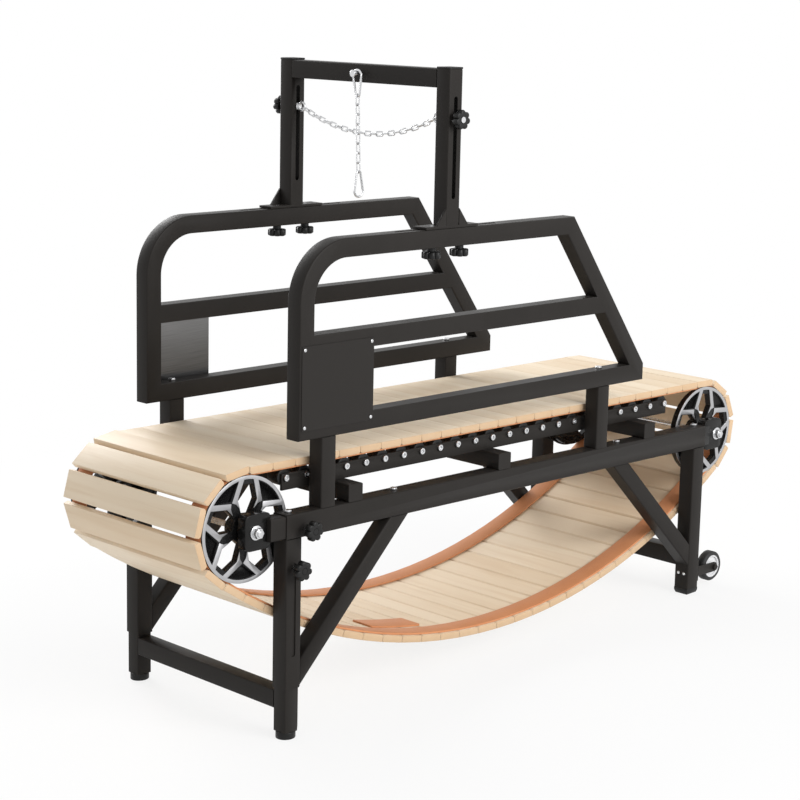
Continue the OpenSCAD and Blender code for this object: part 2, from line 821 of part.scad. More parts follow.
// Points of the belt's loop, moved out from the path
function sweep_points(c, r, from, sweep, steps) =
    [for (i = [0:steps]) let (t = from + sweep * i / steps) [c[0] + r * cos(t), c[1] + r * sin(t)]];
function belt_loop(out) = concat(
    sweep_points([-a, 0], path_r + out, 90, wrap, wheel_steps),
    sweep_points([0, sag_z], sag_r + out, 270 - sag_half, 2 * sag_half, sag_steps),
    sweep_points([a, 0], path_r + out, 270 + sag_half, wrap, wheel_steps));
module belt_straps() {
    y_out = half_belt - lip_t - strap_inset;
    color(leather) on_deck() both_sides() translate([axle_mid, 0, 0]) pull(-y_out, strap_w - y_out)
        difference() {
            polygon(belt_loop(strap_t));
            polygon(belt_loop(0));
        }
}

// Wheel outlines, in polar places about the hub
function polar(r, t) = [r * cos(t), r * sin(t)];
face_in = 2;
web_t = 14;
rim_t = 9;
rim_in = tread_r - rim_t;
rim_lap = 1;
fork_in = 40;
fork_r = wheel_r - fork_in;
spoke_gap = 1.2;
fork_rise = 9;
arm_turn = 22.5;
arm_lean = 28;
tip_lap = 2;
tip_r = wheel_r - lip_w + tip_lap;
tip_wide = spoke_edge_w / cos(arm_lean) / tip_r * 180 / PI;
stem_turn = 15;
tail_r = 44;
tail_turn = 13.5;
ridge_in = 1;
window_hub = 8;
window_lap = 3;
window_turn = 5;
pocket_d = 6;
pocket_fork = 3;
pocket_side = 2;
pocket_rim = 4;
pocket_steps = 4;
seat_lip = 2;
step = 360 / spoke_count;
// Corner where the arms of a spoke part, the end of an arm's inner edge, and the way between them
spoke_fork = [fork_r, spoke_gap];
arm_tip = polar(tip_r, arm_turn);
arm_run = (arm_tip - spoke_fork) / norm(arm_tip - spoke_fork);
// Place across an arm from the fork, on the side of the opening
function across_arm(w, rise) = spoke_fork + [-arm_run[1], arm_run[0]] * w + arm_run * rise;
// Place on the spoke at an angle, to its left or right
function on_spoke(p, t, s) = [p[0] * cos(t) - s * p[1] * sin(t), p[0] * sin(t) + s * p[1] * cos(t)];
// Side of the opening along one spoke, from the hub out
window_side = [
    polar(hub_r + window_hub, stem_turn),
    across_arm(spoke_edge_w + ridge_in, fork_rise),
    polar(rim_in - window_lap, arm_turn + window_turn),
];
// Opening between two spokes
function window(t) = concat(
    [for (p = window_side) on_spoke(p, t - step / 2, 1)],
    [for (i = [len(window_side) - 1:-1:0]) on_spoke(window_side[i], t + step / 2, -1)]);
// Blind pocket between the arms of a spoke
function pocket(t) = concat(
    [polar(fork_r + pocket_fork, t)],
    [for (i = [-pocket_steps:pocket_steps])
        polar(rim_in + pocket_rim, t + (arm_turn - pocket_side) * i / pocket_steps)]);
// Bright edge along one arm of a spoke, with a tail down the stem
function spoke_edge(t, s) =
    let (edge = [
        spoke_fork, arm_tip, polar(tip_r, arm_turn + tip_wide),
        across_arm(spoke_edge_w, fork_rise), polar(tail_r, tail_turn), across_arm(spoke_edge_w, 0),
    ])
    [for (p = edge) on_spoke(p, t, s)];
// Wheel round +Z with its bright face up at zero
module wheel_body() {
    seat_r = bearing_d / 2;
    difference() {
        union() {
            rotate_extrude($fn = 128) {
                translate([rim_in, -wheel_w]) square([rim_t, wheel_w - face_in]);
                translate([wheel_r - lip_w, -lip_t]) square([lip_w, lip_t]);
                translate([axle_d, -hub_len]) square([hub_r - axle_d, hub_len - face_in]);
            }
            translate([0, 0, -face_in - web_t]) linear_extrude(web_t) difference() {
                circle(r = rim_in + rim_lap, $fn = 128);
                for (i = [0:spoke_count - 1]) polygon(window(i * step + step / 2));
            }
            for (i = [0:spoke_count - 1]) for (s = [-1, 1])
                translate([0, 0, -face_in - cut]) linear_extrude(face_in + cut)
                    polygon(spoke_edge(i * step, s));
        }
        for (i = [0:spoke_count - 1])
            translate([0, 0, -face_in - pocket_d]) linear_extrude(wheel_w) polygon(pocket(i * step));
        translate([0, 0, -hub_len - cut]) cylinder(r = seat_r - seat_lip, h = hub_len + 2 * cut);
        translate([0, 0, -hub_len - cut]) cylinder(r = seat_r, h = bearing_w + cut);
        translate([0, 0, -bearing_w - face_in]) cylinder(r = seat_r, h = hub_len);
    }
}
module wheel(x, side) {
    color(plastic) on_deck() on_side(side) translate([x, -half_belt, 0]) rotate([90, 0, 0])
        rotate(270 + spoke_turn) wheel_body();
}
module wheel_front_l() wheel(axle_front, -1);
module wheel_front_r() wheel(axle_front, 1);
module wheel_rear_l() wheel(axle_rear, -1);
module wheel_rear_r() wheel(axle_rear, 1);

// Two bearings in each hub, running on the axle
module bearings(x) {
    color(alloy) on_deck() both_sides() for (y = [-half_belt + face_in, -half_belt + hub_len - bearing_w])
        difference() {
            round_y(x, 0, bearing_d, y, y + bearing_w);
            round_y(x, 0, axle_d + 2 * running_gap, y - cut, y + bearing_w + cut);
        }
}
module front_bearings() bearings(axle_front);
module rear_bearings() bearings(axle_rear);

// Inner legs that slide in the front legs, bored for the knob studs
module stand_legs() {
    half = inner_leg / 2;
    color(coat) on_deck() both_sides() difference() {
        tube([-leg_x - half, -side_y - half, -front_drop + foot_h],
            [-leg_x + half, -side_y + half, inner_leg_top], 2);
        round_y(-leg_x, -leg_knob_drop, stud_d + 2 * running_gap,
            -side_y - half - cut, -side_y - half + tube_wall + cut);
    }
}
module stand_crossbar() {
    half = inner_leg / 2;
    inner = side_y - half;
    top = leg_foot - stand_bar_gap;
    color(coat) on_deck() tube([-leg_x - half, -inner, top - stand_bar_h], [-leg_x + half, inner, top], 1);
}
module front_feet() {
    low = -front_drop - sole_allowance;
    color(plastic) on_floor() on_deck() both_sides() translate([-leg_x, -side_y, low])
        cylinder(d = foot_d, h = foot_h + sole_allowance);
}

// Knob that locks a tension arm
module tension_knob(side) {
    color(plastic) on_deck() on_side(side)
        side_knob(tension_knob_x, -frame_w / 2 - knob_standoff, -tension_knob_drop,
            knob_standoff + tube_wall);
}
module tension_knob_l() tension_knob(-1);
module tension_knob_r() tension_knob(1);

// Knob that locks an inner leg
module leg_knob(side) {
    color(plastic) on_deck() on_side(side) side_knob(-leg_x, -side_y - leg_tube / 2 - knob_standoff,
        -leg_knob_drop, knob_standoff + 2 * tube_wall + slide_gap);
}
module leg_knob_l() leg_knob(-1);
module leg_knob_r() leg_knob(1);

// Knob on the threaded end of an eye bolt
module anchor_knob(side) {
    color(plastic) on_deck() on_side(side)
        side_knob(gantry_at, -guard_y - gantry_tube / 2 - slide_gap, eye_z, collar_h + knob_h / 2, true);
}
module anchor_knob_l() anchor_knob(-1);
module anchor_knob_r() anchor_knob(1);

// Knob under a guard whose stud reaches up into the gantry base
module gantry_knob(end, side) {
    color(plastic) on_deck() on_side(side)
        translate([gantry_at + end * base_knobs / 2, -guard_y, guard_top - guard_tube - slide_gap])
            rotate([180, 0, 0]) star_knob(guard_tube + 2 * slide_gap + base_t);
}
module gantry_knob_fl() gantry_knob(-1, -1);
module gantry_knob_rl() gantry_knob(1, -1);
module gantry_knob_fr() gantry_knob(-1, 1);
module gantry_knob_rr() gantry_knob(1, 1);

// Gantry posts with slots through their outer and inner faces
module gantry_posts() {
    half = gantry_tube / 2;
    color(coat) on_deck() both_sides() difference() {
        tube([gantry_at - half, -guard_y - half, gantry_foot + base_t],
            [gantry_at + half, -guard_y + half, gantry_top], 2);
        slot_up(gantry_at, eye_z - eye_down - slot_end, eye_z + eye_up + slot_end, slot_w,
            -guard_y - half - cut, -guard_y + half + cut);
    }
}
module gantry_crossbar() {
    half = gantry_tube / 2;
    inner = guard_y - half;
    color(coat) on_deck()
        tube([gantry_at - half, -inner, bar_z - half], [gantry_at + half, inner, bar_z + half], 1);
}
// Base plates with a forked gusset in front of and behind each post
module gantry_bases() {
    half = gantry_tube / 2;
    gusset_t = 5;
    color(coat) on_deck() both_sides() {
        difference() {
            block([gantry_at - base_l / 2, -guard_y - guard_tube / 2, gantry_foot],
                [gantry_at + base_l / 2, -guard_y + guard_tube / 2, gantry_foot + base_t]);
            for (end = [-1, 1]) translate([gantry_at + end * base_knobs / 2, -guard_y, gantry_foot - cut])
                cylinder(d = stud_d + 2 * running_gap, h = base_t + 2 * cut);
        }
        for (end = [-1, 1]) pull(-guard_y - half, -guard_y - half + gusset_t) polygon([
            [gantry_at + end * half, gantry_foot + base_t],
            [gantry_at + end * (half + gusset_reach), gantry_foot + base_t],
            [gantry_at + end * half, gantry_foot + base_t + gusset_h],
        ]);
    }
}
module gantry_caps() {
    half = gantry_tube / 2;
    plug = half - tube_wall - bolt_gap;
    plug_h = 12;
    color(plastic) on_deck() both_sides() translate([gantry_at, -guard_y, gantry_top]) {
        block([-half, -half, 0], [half, half, cap_h]);
        block([-plug, -plug, -plug_h], [plug, plug, cut]);
    }
}
// Headed stud on the front of the crossbar
module leash_stud() {
    face = gantry_at - gantry_tube / 2;
    color(steel) on_deck() translate([face, 0, bar_z]) rotate([0, -90, 0]) {
        cylinder(d = stud_d, h = stud_l);
        translate([0, 0, stud_l]) cylinder(d = stud_head_d, h = stud_head_t);
    }
}

// Ring of wire round +Z
module ring(r, wire, from = 0, sweep = 360) {
    rotate(from) rotate_extrude(angle = sweep, $fn = 48) translate([r, 0]) circle(d = wire, $fn = 16);
}
// Eye bolts through the gantry posts
module eye_bolts() {
    flange_y = -guard_y + gantry_tube / 2 + slide_gap;
    start = -guard_y - gantry_tube / 2 - slide_gap - collar_h - knob_h / 2 + cut;
    color(steel) on_deck() both_sides() {
        round_y(gantry_at, eye_z, stud_d, start, -eye_y - eye_r);
        round_y(gantry_at, eye_z, eye_flange_d, flange_y, flange_y + eye_flange_t);
        translate([gantry_at, -eye_y, eye_z]) rotate([0, 90, 0]) ring(eye_r, eye_wire);
    }
}

// Straight stretch of wire along +X, a little slimmer than the bends that it runs into
module straight_wire(wire, length) {
    translate([-wire_lap, 0, 0]) rotate([0, 90, 0])
        cylinder(d = wire - 2 * wire_step, h = length + 2 * wire_lap, $fn = 16);
}
// Chain link along +X in the XY plane
module link(pitch) {
    r = (link_w + chain_wire) / 2;
    straight = pitch + link_gap - link_w;
    for (s = [-1, 1]) {
        translate([s * straight / 2, 0, 0]) ring(r, chain_wire, s * 90 - 180, 180);
        translate([-straight / 2, s * r, 0]) straight_wire(chain_wire, straight);
    }
}
module cross_chain() {
    color(steel) on_deck() translate([gantry_at, 0, eye_z]) rotate([0, -incline, 0])
        translate([0, 0, chain_centre - eye_z]) for (i = [0:chain_links - 1])
            let (t = chain_slope * (2 * (i + 0.5) / chain_links - 1))
            rotate([t, 0, 0]) translate([0, 0, -chain_r]) rotate([0, 0, 90])
                rotate([i % 2 * 90, 0, 0]) link(chain_pitch);
}

// The tether hangs plumb from the stud
module from_stud() {
    on_deck() translate([stud_x, 0, bar_z]) rotate([0, -incline, 0]) children();
}
// Snap hook in the YZ plane, wide end up, hung with its wide centre at the origin
module hook_body() {
    rotate([90, 0, 90]) {
        ring(hook_wide, hook_wire, -hook_lean, 180 + 2 * hook_lean);
        translate([0, -hook_span, 0]) ring(hook_narrow, hook_wire, 180 + hook_lean, 180 - 2 * hook_lean);
        rotate(180 + hook_lean) translate([hook_wide, 0, 0]) rotate(90) straight_wire(hook_wire, hook_side);
    }
}
module hook_gate() {
    rotate([90, 0, 90]) rotate(-hook_lean) translate([hook_wide, -gate_gap, 0]) rotate([90, 0, 0])
        cylinder(d = hook_wire, h = hook_side - 2 * gate_gap, $fn = 16);
}
module top_hook() from_stud() translate([0, 0, -hook_hang]) children();
module bottom_hook() {
    from_stud() translate([0, 0, leash_foot + link_gap / 2 - hook_reach])
        rotate([0, 0, 90]) rotate([180, 0, 0]) children();
}
module leash_hook_top() color(steel) top_hook() hook_body();
module hook_gate_top() color(steel) top_hook() hook_gate();
module leash_hook_bottom() color(steel) bottom_hook() hook_body();
module hook_gate_bottom() color(steel) bottom_hook() hook_gate();
module leash_chain() {
    color(steel) from_stud() for (i = [0:leash_links - 1])
        translate([0, 0, leash_top - (i + 0.5) * leash_pitch]) rotate([0, 90, 0])
            rotate([90 - i % 2 * 90, 0, 0]) link(leash_pitch);
}

side_rail_l();
side_rail_r();
front_leg_l();
front_leg_r();
rear_leg_l();
rear_leg_r();
leg_braces();
rear_crossbar();
rear_feet();
caster_forks();
caster_wheel_l();
caster_wheel_r();
deck_beams();
roller_rail_l();
roller_rail_r();
deck_rollers();
roller_bolts();
guard_posts();
guard_l();
guard_r();
guard_plates();
frame_bolts();
rear_axle_blocks();
rear_axle();
belt_slats();
belt_straps();
tension_arms();
front_axle_blocks();
front_axle();
wheel_front_l();
wheel_front_r();
wheel_rear_l();
wheel_rear_r();
front_bearings();
rear_bearings();
stand_legs();
stand_crossbar();
front_feet();
tension_knob_l();
tension_knob_r();
leg_knob_l();
leg_knob_r();
anchor_knob_l();
anchor_knob_r();
gantry_knob_fl();
gantry_knob_rl();
gantry_knob_fr();
gantry_knob_rr();
gantry_posts();
gantry_crossbar();
gantry_bases();
gantry_caps();
leash_stud();
eye_bolts();
cross_chain();
leash_hook_top();
hook_gate_top();
leash_chain();
leash_hook_bottom();
hook_gate_bottom();
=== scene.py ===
import json
import math
import random

import bmesh
import bpy
from mathutils import Matrix, Vector


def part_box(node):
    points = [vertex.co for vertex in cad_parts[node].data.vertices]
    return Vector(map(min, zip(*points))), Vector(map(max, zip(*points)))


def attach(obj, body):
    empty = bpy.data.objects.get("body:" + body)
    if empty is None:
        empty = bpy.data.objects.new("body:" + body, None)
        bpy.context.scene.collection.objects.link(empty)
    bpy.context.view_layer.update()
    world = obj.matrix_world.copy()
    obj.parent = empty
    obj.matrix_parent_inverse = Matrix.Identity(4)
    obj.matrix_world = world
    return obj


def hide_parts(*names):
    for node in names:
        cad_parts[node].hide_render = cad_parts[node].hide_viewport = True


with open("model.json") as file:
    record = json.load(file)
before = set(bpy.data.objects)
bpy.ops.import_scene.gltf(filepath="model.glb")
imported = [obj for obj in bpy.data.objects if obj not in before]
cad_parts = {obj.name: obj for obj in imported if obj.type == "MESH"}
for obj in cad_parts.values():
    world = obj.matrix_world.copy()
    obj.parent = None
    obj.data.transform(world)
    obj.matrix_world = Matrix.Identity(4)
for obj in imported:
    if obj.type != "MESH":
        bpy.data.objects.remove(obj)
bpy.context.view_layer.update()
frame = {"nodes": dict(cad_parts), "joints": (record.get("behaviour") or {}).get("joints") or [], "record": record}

# Camera: where the picture was taken from, in metres and degrees
CAMERA_AT = (-3.1858, -3.1455, 1.5620)
CAMERA_AZIMUTH = -44.438
CAMERA_ELEVATION = 12.875
CAMERA_ROLL = -0.385
CAMERA_LENS = 93.17

# The deck's own frame: its origin is midway between the axles, and its X runs along the rails
joints = {joint["name"]: joint for joint in frame["joints"]}
front_axle = Vector(joints["front_wheel_spin"]["pos_m"])
rear_axle = Vector(joints["rear_wheel_spin"]["pos_m"])
along = (rear_axle - front_axle).normalized()
across = Vector((0, 1, 0))
upward = along.cross(across)
deck = Matrix((along, across, upward)).transposed().to_4x4()
deck.translation = (front_axle + rear_axle) / 2
half_span = (rear_axle - front_axle).length / 2

# Belt
SLATS = 62
SLAT_T = 0.015
SLAT_GAP = 0.0008
SLAT_NOTCH = 0.0035
SLAT_EDGE = 0.0012
SLAT_SHIFT = 0.0075
STRAP_T = 0.004
BELT_CLEAR = 0.0004
BELT_SAG = 0.227
BELT_SEED = 11
WHEEL_R = 0.106
half_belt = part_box("belt_slats")[1].y
path_r = WHEEL_R - STRAP_T + BELT_CLEAR
sag_z = (half_span ** 2 - BELT_SAG ** 2) / (2 * BELT_SAG)
sag_r = sag_z + path_r + BELT_SAG
sag_half = math.atan2(half_span, sag_z)
wrap = math.pi - sag_half
to_lower = half_span + path_r * wrap
to_rear = to_lower + sag_r * 2 * sag_half
to_top = to_rear + path_r * wrap
belt_length = to_top + half_span
slat_pitch = belt_length / SLATS

# Edge rounding
TUBE_ROUND = 0.0032
BLOCK_ROUND = 0.0022
PLATE_ROUND = 0.0006
BOLT_ROUND = 0.0007
WHEEL_ROUND = 0.0007
STRAP_ROUND = 0.0008
LONG_EDGE = 0.055
FACE_DEPTH = 0.006
SMOOTH_ANGLE = math.radians(38)
FLAT_ANGLE = math.radians(0.2)
EDGE_ANGLE = 50
CORNER_ANGLE = 60
MERGE = 2e-6
SAME_FACE = 1e-5

body_of = {node: body for body, members in frame["record"]["behaviour"]["bodies"].items() for node in members}
slot_of = {part["node"]: part["material_slot"] for part in frame["record"]["subparts"]}


# Camera first
def place_camera():
    lens = bpy.data.cameras.new("camera")
    lens.lens = CAMERA_LENS
    lens.sensor_width = 36
    lens.clip_end = 500
    camera = bpy.data.objects.new("camera", lens)
    turn = Matrix.Rotation(math.radians(CAMERA_AZIMUTH), 4, "Z")
    tilt = Matrix.Rotation(math.radians(90 - CAMERA_ELEVATION), 4, "X")
    roll = Matrix.Rotation(math.radians(CAMERA_ROLL), 4, "Z")
    camera.matrix_world = Matrix.Translation(CAMERA_AT) @ turn @ tilt @ roll
    bpy.context.scene.collection.objects.link(camera)
    bpy.context.scene.camera = camera


place_camera()


# Finishes
class Wire:
    """A shader socket that takes part in sums."""

    def __init__(self, graph, socket):
        self.graph = graph
        self.socket = socket

    def sum(self, operation, first, second=0.0):
        return self.graph.node("ShaderNodeMath", {"operation": operation}, {0: first, 1: second})

    def __add__(self, other):
        return self.sum("ADD", self, other)

    def __sub__(self, other):
        return self.sum("SUBTRACT", self, other)

    def __rsub__(self, other):
        return self.sum("SUBTRACT", other, self)

    def __mul__(self, other):
        return self.sum("MULTIPLY", self, other)

    def __gt__(self, other):
        return self.sum("GREATER_THAN", self, other)

    def __lt__(self, other):
        return self.sum("LESS_THAN", self, other)

    def __abs__(self):
        return self.sum("ABSOLUTE", self)

    __radd__ = __add__
    __rmul__ = __mul__


class Graph:
    """A node tree, built node by node."""

    def __init__(self, tree):
        self.tree = tree

    def node(self, kind, settings=None, values=None, output=0):
        made = self.tree.nodes.new(kind)
        for name, value in (settings or {}).items():
            setattr(made, name, value)
        for socket, value in (values or {}).items():
            self.feed(made.inputs[socket], value)
        return Wire(self, made.outputs[output])

    def feed(self, socket, value):
        if isinstance(value, Wire):
            self.tree.links.new(value.socket, socket)
        else:
            socket.default_value = value

    def seen(self):
        """One on a ray that comes from the camera, a mirror or a clear piece, and otherwise zero."""
        kinds = ("Is Camera Ray", "Is Glossy Ray", "Is Transmission Ray")
        straight, mirrored, through = (self.node("ShaderNodeLightPath", output=kind) for kind in kinds)
        return straight + mirrored + through


class Finish(Graph):
    """One procedural material."""

    def __init__(self, name, **constants):
        self.material = bpy.data.materials.new(name)
        self.material.use_nodes = True
        super().__init__(self.material.node_tree)
        self.shader = self.tree.nodes["Principled BSDF"]
        for socket, value in constants.items():
            self.shader.inputs[socket.replace("_", " ")].default_value = value

    def surface(self, **values):
        for socket, value in values.items():
            self.feed(self.shader.inputs[socket.replace("_", " ")], value)
        return self.material

    def place(self):
        return self.node("ShaderNodeTexCoord", output=3)

    def axis(self, vector, index):
        return self.node("ShaderNodeSeparateXYZ", values={0: vector}, output=index)

    def moved(self, vector, scale=(1, 1, 1), location=(0, 0, 0)):
        return self.node("ShaderNodeMapping", values={"Vector": vector, "Location": location, "Scale": scale})

    def noise(self, vector, scale, detail=2.0, roughness=0.5, distortion=0.0):
        values = {"Vector": vector, "Scale": scale, "Detail": detail, "Roughness": roughness,
                  "Distortion": distortion}
        return self.node("ShaderNodeTexNoise", values=values)

    def spread(self, value, low, high, to_low=0.0, to_high=1.0):
        values = {"Value": value, "From Min": low, "From Max": high, "To Min": to_low, "To Max": to_high}
        return self.node("ShaderNodeMapRange", {"interpolation_type": "SMOOTHSTEP"}, values)

    def tint(self, share, first, second):
        return self.node("ShaderNodeMix", {"data_type": "RGBA"}, {0: share, 6: first, 7: second}, output=2)

    def bump(self, height, distance, strength=1.0):
        values = {"Height": height, "Distance": distance, "Strength": strength}
        return self.node("ShaderNodeBump", values=values)


# Where a finish changes: the plates' inner side, the wheels' bright lip, the casters' hub, the slats' ends
BARE_PLATE_Y = 0.25525
MACHINED_DEPTH = 0.0011
CASTER_HUB_R = 0.0271
END_GRAIN = 0.0006


def powder_coat():
    """Charcoal powder coat: a fine orange peel, a little uneven in gloss."""
    coat = Finish("charcoal_powder_coat", Specular_IOR_Level=0.1)
    place = coat.place()
    peel = coat.noise(place, 900, detail=3)
    patch = coat.noise(place, 14, detail=4)
    colour = coat.tint(patch, (0.0195, 0.0175, 0.0159, 1), (0.0246, 0.0221, 0.0202, 1))
    return coat.surface(Base_Color=colour, Roughness=0.34 + patch * 0.14, Normal=coat.bump(peel, 0.00006))


def gloss_black():
    """Gloss black enamel on the axle blocks."""
    enamel = Finish("gloss_black", Specular_IOR_Level=0.22)
    place = enamel.place()
    ripple = enamel.noise(place, 160, detail=3)
    patch = enamel.noise(place, 30, detail=3)
    colour = enamel.tint(patch, (0.006, 0.006, 0.006, 1), (0.011, 0.0105, 0.010, 1))
    rough = 0.16 + patch * 0.10
    return enamel.surface(Base_Color=colour, Roughness=rough, Normal=enamel.bump(ripple, 0.00008))


def plate_coat():
    """Guard plate: coated outside, bare sheet inside, painted with a reflection that lightens the sheet towards
    its top.
    """
    plate = Finish("guard_plate", Specular_IOR_Level=0.12)
    place = plate.place()
    peel = plate.noise(place, 900, detail=3)
    brushed = plate.noise(plate.moved(place, (3, 1, 160)), 4, detail=3)
    low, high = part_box("guard_plates")
    # Painted reflection: the bare sheet's grey runs from dark at the plate's bottom to light at its top, with real
    # brushing streaks added.
    painted_reflection_and_brushing = plate.spread(plate.axis(place, 2), low.z, high.z, 0.0, 0.75) + brushed * 0.5
    bare = abs(plate.axis(place, 1)) < BARE_PLATE_Y
    sheet_with_painted_reflection = plate.tint(painted_reflection_and_brushing, (0.04, 0.04, 0.04, 1), (0.26, 0.26, 0.26, 1))
    colour = plate.tint(bare, (0.0223, 0.0201, 0.0184, 1), sheet_with_painted_reflection)
    rough = 0.42 - bare * 0.14
    texture = plate.bump(peel, 0.00005)
    return plate.surface(Base_Color=colour, Metallic=bare * 0.9, Roughness=rough, Normal=texture)


def moulded_black():
    """Black moulded plastic with a fine spark grain."""
    plastic = Finish("black_plastic", Specular_IOR_Level=0.25)
    place = plastic.place()
    grain = plastic.noise(place, 1500, detail=2)
    patch = plastic.noise(place, 40, detail=3)
    colour = plastic.tint(patch, (0.007, 0.007, 0.007, 1), (0.013, 0.013, 0.0125, 1))
    rough = 0.34 + grain * 0.16
    return plastic.surface(Base_Color=colour, Roughness=rough, Normal=plastic.bump(grain, 0.00008))


def zinc_plate():
    """Bright zinc on steel, cloudy and slightly brushed."""
    zinc = Finish("zinc_steel", Metallic=1.0)
    place = zinc.place()
    cloud = zinc.noise(place, 120, detail=4)
    scratch = zinc.noise(zinc.moved(place, (1, 1, 9)), 700, detail=2)
    colour = zinc.tint(cloud, (0.56, 0.57, 0.58, 1), (0.80, 0.80, 0.81, 1))
    return zinc.surface(Base_Color=colour, Roughness=0.20 + cloud * 0.16, Normal=zinc.bump(scratch, 0.00003))


def birch():
    """Pale sanded birch slats: fine streaks along each slat, a tone of its own, warmer end grain."""
    wood = Finish("birch_slats", Specular_IOR_Level=0.35)
    tone = wood.node("ShaderNodeAttribute", {"attribute_name": "tone"}, output=2)
    flat = wood.node("ShaderNodeTexCoord", output=2)
    across_slat = wood.axis(flat, 0) + tone * 7.3
    along_slat = wood.axis(flat, 1) + tone * 3.1
    streak_at = wood.node("ShaderNodeCombineXYZ", values={0: across_slat * 260, 1: along_slat * 5})
    figure_at = wood.node("ShaderNodeCombineXYZ", values={0: across_slat * 26, 1: along_slat * 2.2})
    streak = wood.noise(streak_at, 1.0, detail=4, roughness=0.6)
    figure = wood.noise(figure_at, 1.0, detail=3, distortion=0.8)
    pale = wood.tint(tone, (0.77, 0.62, 0.445, 1), (0.85, 0.72, 0.55, 1))
    shaded = wood.tint(wood.spread(figure, 0.45, 0.75, 0.0, 0.5), pale, (0.70, 0.53, 0.355, 1))
    grained = wood.tint(wood.spread(streak, 0.55, 0.80, 0.0, 0.25), shaded, (0.55, 0.39, 0.24, 1))
    end = abs(wood.axis(wood.place(), 1)) > half_belt - END_GRAIN
    colour = wood.tint(end * 0.8, grained, (0.56, 0.37, 0.21, 1))
    height = streak * 0.6 + figure * 0.4
    return wood.surface(Base_Color=colour, Roughness=0.46 + streak * 0.2, Normal=wood.bump(height, 0.00018))


def tan_leather():
    """Tan belting leather: pebbled, darker where it is rubbed."""
    leather = Finish("tan_leather", Specular_IOR_Level=0.25)
    place = leather.place()
    pebble = leather.noise(place, 420, detail=5, roughness=0.6)
    patch = leather.noise(place, 16, detail=4, roughness=0.6)
    colour = leather.tint(patch, (0.56, 0.225, 0.095, 1), (0.66, 0.30, 0.145, 1))
    worn = leather.tint(leather.spread(pebble, 0.5, 0.75, 0.0, 0.35), colour, (0.40, 0.145, 0.055, 1))
    rough = 0.42 + pebble * 0.25
    return leather.surface(Base_Color=worn, Roughness=rough, Normal=leather.bump(pebble, 0.0003))


def wheel_casting():
    """Gloss black casting whose outer lip and spoke edges are machined bright."""
    wheel = Finish("wheel_casting", Specular_IOR_Level=0.2)
    place = wheel.place()
    bright = abs(wheel.axis(place, 1)) > half_belt - MACHINED_DEPTH
    cast = wheel.noise(place, 300, detail=3)
    turned = wheel.noise(wheel.moved(place, (900, 1, 900)), 1.0, detail=2)
    black = wheel.tint(cast, (0.006, 0.006, 0.006, 1), (0.014, 0.014, 0.014, 1))
    silver = wheel.tint(turned, (0.40, 0.40, 0.41, 1), (0.52, 0.52, 0.53, 1))
    colour = wheel.tint(bright, black, silver)
    rough = 0.24 + bright * 0.10 + cast * 0.06
    texture = wheel.bump(cast, 0.00008)
    return wheel.surface(Base_Color=colour, Metallic=bright * 0.85, Roughness=rough, Normal=texture)


def caster_finish():
    """Caster wheel: pale moulded hub in a black tyre."""
    caster = Finish("caster_wheel", Specular_IOR_Level=0.4)
    place = caster.place()
    centre = joints["caster_spin_l"]["pos_m"]
    local = caster.moved(place, location=(-centre[0], 0, -centre[2]))
    flat = caster.node("ShaderNodeVectorMath", {"operation": "MULTIPLY"}, {0: local, 1: (1, 0, 1)})
    radius = caster.node("ShaderNodeVectorMath", {"operation": "LENGTH"}, {0: flat}, output=1)
    tyre = radius > CASTER_HUB_R
    grain = caster.noise(place, 800, detail=3)
    rubber = caster.tint(grain, (0.010, 0.010, 0.010, 1), (0.020, 0.020, 0.020, 1))
    hub = caster.tint(grain, (0.66, 0.66, 0.67, 1), (0.76, 0.76, 0.77, 1))
    colour = caster.tint(tyre, hub, rubber)
    return caster.surface(Base_Color=colour, Roughness=0.35 + tyre * 0.25, Normal=caster.bump(grain, 0.0001))


coat_finish = powder_coat()
block_finish = gloss_black()
plate_finish = plate_coat()
plastic_finish = moulded_black()
zinc_finish = zinc_plate()
birch_finish = birch()
leather_finish = tan_leather()
wheel_finish = wheel_casting()
caster_wheel_finish = caster_finish()


# Making and showing pieces
def show(name, bm, body, finishes, slot, *stands_for):
    """Turns a bmesh into a piece that rides on a body and stands for CAD nodes."""
    mesh = bpy.data.meshes.new(name)
    bm.to_mesh(mesh)
    bm.free()
    for finish in finishes:
        mesh.materials.append(finish)
    mesh.shade_smooth()
    mesh.set_sharp_from_angle(angle=SMOOTH_ANGLE)
    piece = bpy.data.objects.new(name, mesh)
    bpy.context.scene.collection.objects.link(piece)
    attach(piece, body)
    if stands_for:
        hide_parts(*stands_for)
    return piece


def solid_of(node):
    """A node's solids as a clean bmesh, with flat faces whole."""
    bm = bmesh.new()
    bm.from_mesh(frame["nodes"][node].data)
    bmesh.ops.remove_doubles(bm, verts=bm.verts, dist=MERGE)
    bmesh.ops.dissolve_limit(bm, angle_limit=FLAT_ANGLE, verts=bm.verts, edges=bm.edges)
    return bm


def convex(edge, least=EDGE_ANGLE):
    return len(edge.link_faces) == 2 and edge.calc_face_angle_signed() > math.radians(least)


def tube_edge(edge):
    """Long outer edge of a tube, not the rim of a slot."""
    length = edge.calc_length()
    least_area = FACE_DEPTH * length
    return convex(edge) and length > LONG_EDGE and min(f.calc_area() for f in edge.link_faces) > least_area


def guard_edge(edge):
    """Edge along a guard's outer or inner side face."""
    sides = [abs(v.co.y) for v in edge.verts]
    return convex(edge) and any(all(abs(y - face) < SAME_FACE for y in sides) for face in GUARD_SIDES)


def round_edges(bm, edges, width, segments):
    bmesh.ops.bevel(bm, geom=edges, offset=width, offset_type="OFFSET", affect="EDGES", segments=segments,
                    profile=0.5, material=-1, clamp_overlap=True)


def dress(node, finish, width, pick=convex, segments=3):
    """Shows a copy of a node with its picked edges rounded."""
    bm = solid_of(node)
    round_edges(bm, [edge for edge in bm.edges if pick(edge)], width, segments)
    return show(node + "_finished", bm, body_of[node], [finish], slot_of[node], node)


